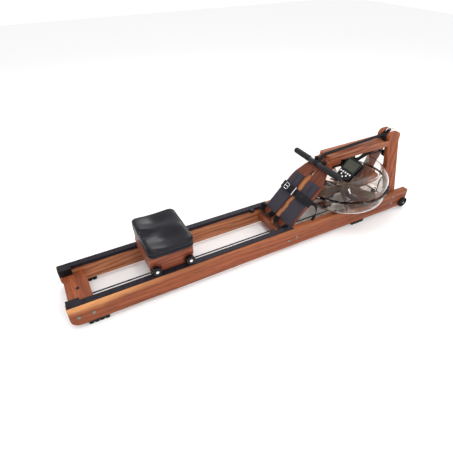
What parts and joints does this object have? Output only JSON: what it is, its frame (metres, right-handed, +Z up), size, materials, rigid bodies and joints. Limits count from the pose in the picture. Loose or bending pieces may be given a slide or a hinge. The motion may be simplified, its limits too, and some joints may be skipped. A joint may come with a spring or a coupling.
{
  "type": "rowing machine",
  "caption": "Wooden water rowing machine: seat rolling on two rails, sloped footboard, clear round water tank, strap-pulled handle and a tilting monitor.",
  "frame": {"origin": "on the floor, under the middle of the machine's overall box", "axes": "+X along the rails from the seat end to the tank end, +Y to the left of a seated rower, +Z up"},
  "size_m": [2.07, 0.536, 0.494],
  "materials": {
    "walnut": "satin oiled walnut",
    "board_walnut": "satin oiled walnut with a paler middle strip",
    "track_plastic": "satin charcoal",
    "black_plastic": "satin black",
    "grey_plastic": "slate grey, fine matt",
    "black_rubber": "matt",
    "grip_rubber": "soft matt charcoal",
    "sleeve_plastic": "smooth charcoal",
    "bar_aluminium": "bare",
    "toe_webbing": "black webbing",
    "drive_webbing": "black webbing",
    "cord_sleeve": "black woven sleeve",
    "bright_steel": "bright plated steel",
    "bolt_steel": "grey coated steel",
    "clear_tank": "clear polycarbonate with a smoky tint",
    "display_glass": "olive reflective display",
    "white_button": "white, satin",
    "pad_vinyl": "glossy black moulded foam skin",
    "wheel_plastic": "black",
    "roller_plastic": "black"
  },
  "bodies": {
    "frame": {"bungee_cord": "cord_sleeve", "cord_anchors": "black_plastic", "drive_strap": "drive_webbing", "fasteners": "bolt_steel", "fill_plug": "black_plastic", "footboard": "board_walnut", "front_spreader": "walnut", "handle_bumpers": "black_rubber", "handle_rest": "walnut", "left_post": "walnut", "left_rail": "walnut", "left_track": "track_plastic", "mid_spreader": "walnut", "monitor_arm": "black_plastic", "pulley_bracket": "black_plastic", "rear_spreader": "walnut", "right_post": "walnut", "right_rail": "walnut", "right_track": "track_plastic", "rubber_feet": "black_rubber", "shaft_bearings": "black_plastic", "strap_fittings": "bright_steel", "tank_lower": "clear_tank", "tank_pads": "black_rubber", "tank_seal": "black_rubber", "tank_upper": "clear_tank", "toe_strap": "toe_webbing", "top_deck": "walnut", "track_stops": "black_plastic"},
    "seat": {"seat_panels": "walnut", "seat_base": "walnut", "seat_pad": "pad_vinyl", "seat_axle_bolts": "bright_steel"},
    "handle": {"handle_bar": "bar_aluminium", "handle_grips": "grip_rubber", "handle_sleeve": "sleeve_plastic"},
    "monitor": {"monitor_front": "black_plastic", "monitor_back": "black_plastic", "monitor_screen": "display_glass"},
    "top_pulley": {"top_pulley": "wheel_plastic"},
    "drive_drum": {"drive_drum": "black_plastic"},
    "recoil_pulley_low": {"recoil_pulley_low": "wheel_plastic"},
    "recoil_pulley_high": {"recoil_pulley_high": "wheel_plastic"},
    "paddle": {"paddle": "black_plastic"},
    "left_footrest": {"left_footrest": "grey_plastic"},
    "right_footrest": {"right_footrest": "grey_plastic"},
    "left_roller": {"left_roller": "roller_plastic"},
    "right_roller": {"right_roller": "roller_plastic"},
    "button_1": {"button_1": "white_button"},
    "button_2": {"button_2": "white_button"},
    "button_3": {"button_3": "white_button"},
    "button_4": {"button_4": "white_button"},
    "button_5": {"button_5": "white_button"},
    "button_6": {"button_6": "white_button"},
    "button_7": {"button_7": "white_button"},
    "button_8": {"button_8": "white_button"},
    "seat_wheel_front_left": {"seat_wheel_front_left": "wheel_plastic"},
    "seat_wheel_front_right": {"seat_wheel_front_right": "wheel_plastic"},
    "seat_wheel_rear_left": {"seat_wheel_rear_left": "wheel_plastic"},
    "seat_wheel_rear_right": {"seat_wheel_rear_right": "wheel_plastic"}
  },
  "joints": [
    {"name": "seat_slide", "type": "slide", "parent": "frame", "child": "seat", "axis": [1, 0, 0], "range_m": [-0.325, 0.455]},
    {"name": "seat_wheel_rear_left_spin", "type": "hinge", "parent": "seat", "child": "seat_wheel_rear_left", "pos_m": [-0.6185, 0.1326, 0.1618], "axis": [0, 1, 0], "continuous": true},
    {"name": "seat_wheel_rear_right_spin", "type": "hinge", "parent": "seat", "child": "seat_wheel_rear_right", "pos_m": [-0.6185, -0.1326, 0.1618], "axis": [0, 1, 0], "continuous": true},
    {"name": "seat_wheel_front_left_spin", "type": "hinge", "parent": "seat", "child": "seat_wheel_front_left", "pos_m": [-0.4485, 0.1326, 0.1618], "axis": [0, 1, 0], "continuous": true},
    {"name": "seat_wheel_front_right_spin", "type": "hinge", "parent": "seat", "child": "seat_wheel_front_right", "pos_m": [-0.4485, -0.1326, 0.1618], "axis": [0, 1, 0], "continuous": true},
    {"name": "handle_pull", "type": "slide", "parent": "frame", "child": "handle", "axis": [-1, 0, 0], "range_m": [0, 1.05], "stiffness_N_per_m": 30, "springref_m": -0.5},
    {"name": "top_pulley_spin", "type": "hinge", "parent": "frame", "child": "top_pulley", "pos_m": [0.915, 0, 0.452], "axis": [0, 1, 0], "continuous": true},
    {"name": "drive_drum_spin", "type": "hinge", "parent": "frame", "child": "drive_drum", "pos_m": [0.6, 0, 0.374], "axis": [0, 0, 1], "continuous": true},
    {"name": "recoil_low_spin", "type": "hinge", "parent": "frame", "child": "recoil_pulley_low", "pos_m": [0.905, -0.006, 0.0595], "axis": [0, 1, 0], "continuous": true},
    {"name": "recoil_high_spin", "type": "hinge", "parent": "frame", "child": "recoil_pulley_high", "pos_m": [0.905, -0.006, 0.35], "axis": [0, 1, 0], "continuous": true},
    {"name": "paddle_spin", "type": "hinge", "parent": "frame", "child": "paddle", "pos_m": [0.6, 0, 0.2], "axis": [0, 0, 1], "continuous": true},
    {"name": "left_footrest_slide", "type": "slide", "parent": "frame", "child": "left_footrest", "axis": [0.682, 0, 0.7314], "range_m": [0, 0.039]},
    {"name": "right_footrest_slide", "type": "slide", "parent": "frame", "child": "right_footrest", "axis": [0.682, 0, 0.7314], "range_m": [0, 0.039]},
    {"name": "monitor_tilt", "type": "hinge", "parent": "frame", "child": "monitor", "pos_m": [0.51211, -0.132, 0.38879], "axis": [0, 1, 0], "range_deg": [-4, 20]},
    {"name": "button_1_press", "type": "slide", "parent": "monitor", "child": "button_1", "axis": [0.6947, 0, -0.7193], "range_m": [0, 0.0012], "stiffness_N_per_m": 300},
    {"name": "button_2_press", "type": "slide", "parent": "monitor", "child": "button_2", "axis": [0.6947, 0, -0.7193], "range_m": [0, 0.0012], "stiffness_N_per_m": 300},
    {"name": "button_3_press", "type": "slide", "parent": "monitor", "child": "button_3", "axis": [0.6947, 0, -0.7193], "range_m": [0, 0.0012], "stiffness_N_per_m": 300},
    {"name": "button_4_press", "type": "slide", "parent": "monitor", "child": "button_4", "axis": [0.6947, 0, -0.7193], "range_m": [0, 0.0012], "stiffness_N_per_m": 300},
    {"name": "button_5_press", "type": "slide", "parent": "monitor", "child": "button_5", "axis": [0.6947, 0, -0.7193], "range_m": [0, 0.0012], "stiffness_N_per_m": 300},
    {"name": "button_6_press", "type": "slide", "parent": "monitor", "child": "button_6", "axis": [0.6947, 0, -0.7193], "range_m": [0, 0.0012], "stiffness_N_per_m": 300},
    {"name": "button_7_press", "type": "slide", "parent": "monitor", "child": "button_7", "axis": [0.6947, 0, -0.7193], "range_m": [0, 0.0012], "stiffness_N_per_m": 300},
    {"name": "button_8_press", "type": "slide", "parent": "monitor", "child": "button_8", "axis": [0.6947, 0, -0.7193], "range_m": [0, 0.0012], "stiffness_N_per_m": 300},
    {"name": "left_roller_spin", "type": "hinge", "parent": "frame", "child": "left_roller", "pos_m": [1.003, 0.1635, 0.05], "axis": [0, 1, 0], "continuous": true},
    {"name": "right_roller_spin", "type": "hinge", "parent": "frame", "child": "right_roller", "pos_m": [1.003, -0.1635, 0.05], "axis": [0, 1, 0], "continuous": true}
  ],
  "couplings": [
    {"joint": "seat_wheel_rear_left_spin", "follows": "seat_slide", "rad_per_m": 43.478},
    {"joint": "seat_wheel_rear_right_spin", "follows": "seat_slide", "rad_per_m": 43.478},
    {"joint": "seat_wheel_front_left_spin", "follows": "seat_slide", "rad_per_m": 43.478},
    {"joint": "seat_wheel_front_right_spin", "follows": "seat_slide", "rad_per_m": 43.478},
    {"joint": "top_pulley_spin", "follows": "handle_pull", "rad_per_m": -38.023},
    {"joint": "drive_drum_spin", "follows": "handle_pull", "rad_per_m": 31.949},
    {"joint": "recoil_low_spin", "follows": "handle_pull", "rad_per_m": -39.5},
    {"joint": "recoil_high_spin", "follows": "handle_pull", "rad_per_m": -45.8}
  ]
}
